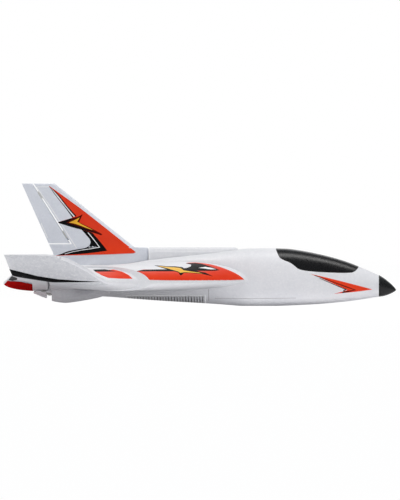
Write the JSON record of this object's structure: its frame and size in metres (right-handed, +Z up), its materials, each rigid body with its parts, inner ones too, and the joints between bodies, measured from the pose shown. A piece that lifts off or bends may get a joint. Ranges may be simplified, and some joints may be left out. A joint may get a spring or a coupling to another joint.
{
  "type": "model jet aircraft",
  "caption": "Foam model jet with swept delta wings, upturned tips, a single fin, canopy hatch, belly fan intake, hinged elevons and a rudder.",
  "frame": {"origin": "centre of the overall box in X and Y, at the lowest point of the belly in Z", "axes": "+X to the nose, +Y to the port wing, +Z up"},
  "size_m": [0.4999, 0.498, 0.1559],
  "materials": {
    "white_foam": "moulded bead foam, satin",
    "black_satin": "satin black paint",
    "nylon": "moulded",
    "steel": "drawn wire",
    "carbon_black": "satin",
    "spinner_metal": "turned",
    "servo_blue": "translucent case",
    "battery_wrap": "heat-shrink film",
    "strap_fabric": "woven hook and loop",
    "plywood": "thin plywood",
    "red_wire": "silicone",
    "black_wire": "silicone",
    "electronics": "moulded case"
  },
  "bodies": {
    "airframe": {"fuselage": "white_foam", "nose_cone": "black_satin", "bay_magnets": "steel", "dorsal_spine": "white_foam", "intake_grille": "white_foam", "wing_left": "white_foam", "wing_right": "white_foam", "wing_joiner_tube": "carbon_black", "wing_hinges_left": "nylon", "wing_hinges_right": "nylon", "hinge_wires_left": "steel", "hinge_wires_right": "steel", "fin": "white_foam", "fin_hinges": "nylon", "rudder_hinge_wires": "steel", "linkage_fairing_left": "white_foam", "linkage_fairing_right": "white_foam", "servo_left": "servo_blue", "servo_right": "servo_blue", "servo_rudder": "servo_blue", "fan_shroud": "carbon_black", "fan_motor": "steel", "motor_screws": "steel", "intake_ring": "carbon_black", "thrust_tube": "carbon_black", "exhaust_nozzle": "carbon_black", "battery": "battery_wrap", "battery_strap": "strap_fabric", "battery_tray": "plywood", "battery_lead": "red_wire", "speed_controller": "electronics", "motor_leads": "black_wire", "radio_receiver": "electronics", "antenna": "black_wire"},
    "canopy": {"canopy_hatch": "black_satin", "hatch_dowels": "nylon", "hatch_magnets": "steel"},
    "fan": {"fan_rotor": "carbon_black", "fan_spinner": "spinner_metal", "motor_shaft": "steel"},
    "elevon_left_body": {"elevon_left": "white_foam", "elevon_hinges_left": "nylon", "horn_fairing_left": "white_foam", "horn_left": "nylon"},
    "servo_arm_left_body": {"servo_arm_left": "nylon"},
    "pushrod_left_body": {"pushrod_left": "steel"},
    "elevon_right_body": {"elevon_right": "white_foam", "elevon_hinges_right": "nylon", "horn_fairing_right": "white_foam", "horn_right": "nylon"},
    "servo_arm_right_body": {"servo_arm_right": "nylon"},
    "pushrod_right_body": {"pushrod_right": "steel"},
    "rudder_body": {"rudder": "white_foam", "rudder_hinges": "nylon", "rudder_horn": "nylon"},
    "servo_arm_rudder_body": {"servo_arm_rudder": "nylon"},
    "pushrod_rudder_body": {"pushrod_rudder": "steel"}
  },
  "joints": [
    {"name": "canopy_hatch_lift", "type": "slide", "parent": "airframe", "child": "canopy", "axis": [0, 0, 1], "range_m": [0, 0.05]},
    {"name": "fan_spin", "type": "hinge", "parent": "airframe", "child": "fan", "pos_m": [-0.104, 0, 0.032], "axis": [1, 0, 0], "continuous": true},
    {"name": "elevon_left_hinge", "type": "hinge", "parent": "airframe", "child": "elevon_left_body", "pos_m": [-0.1908, 0.046, 0.02792], "axis": [0, 0.9987, 0.0511], "range_deg": [-13, 13]},
    {"name": "servo_arm_left_turn", "type": "hinge", "parent": "airframe", "child": "servo_arm_left_body", "pos_m": [-0.15, 0.046, 0.02792], "axis": [0, 0.9987, 0.0511], "range_deg": [-13, 13]},
    {"name": "pushrod_left_pivot", "type": "hinge", "parent": "servo_arm_left_body", "child": "pushrod_left_body", "pos_m": [-0.15, 0.04666, 0.01493], "axis": [0, 0.9987, 0.0511], "range_deg": [-13, 13]},
    {"name": "elevon_right_hinge", "type": "hinge", "parent": "airframe", "child": "elevon_right_body", "pos_m": [-0.1908, -0.046, 0.02792], "axis": [0, 0.9987, -0.0511], "range_deg": [-13, 13]},
    {"name": "servo_arm_right_turn", "type": "hinge", "parent": "airframe", "child": "servo_arm_right_body", "pos_m": [-0.15, -0.046, 0.02792], "axis": [0, 0.9987, -0.0511], "range_deg": [-13, 13]},
    {"name": "pushrod_right_pivot", "type": "hinge", "parent": "servo_arm_right_body", "child": "pushrod_right_body", "pos_m": [-0.15, -0.04666, 0.01493], "axis": [0, 0.9987, -0.0511], "range_deg": [-13, 13]},
    {"name": "rudder_hinge", "type": "hinge", "parent": "airframe", "child": "rudder_body", "pos_m": [-0.1634, 0, 0.0776], "axis": [-0.5334, 0, 0.8459], "range_deg": [-18, 18]},
    {"name": "servo_arm_rudder_turn", "type": "hinge", "parent": "airframe", "child": "servo_arm_rudder_body", "pos_m": [-0.124, 0, 0.0718], "axis": [-0.5334, 0, 0.8459], "range_deg": [-18, 18]},
    {"name": "pushrod_rudder_pivot", "type": "hinge", "parent": "servo_arm_rudder_body", "child": "pushrod_rudder_body", "pos_m": [-0.124, 0.01, 0.0718], "axis": [-0.5334, 0, 0.8459], "range_deg": [-18, 18]}
  ],
  "couplings": [
    {"joint": "servo_arm_left_turn", "follows": "elevon_left_hinge", "ratio": 1},
    {"joint": "pushrod_left_pivot", "follows": "elevon_left_hinge", "ratio": -1},
    {"joint": "servo_arm_right_turn", "follows": "elevon_right_hinge", "ratio": 1},
    {"joint": "pushrod_right_pivot", "follows": "elevon_right_hinge", "ratio": -1},
    {"joint": "servo_arm_rudder_turn", "follows": "rudder_hinge", "ratio": 1},
    {"joint": "pushrod_rudder_pivot", "follows": "rudder_hinge", "ratio": -1}
  ]
}
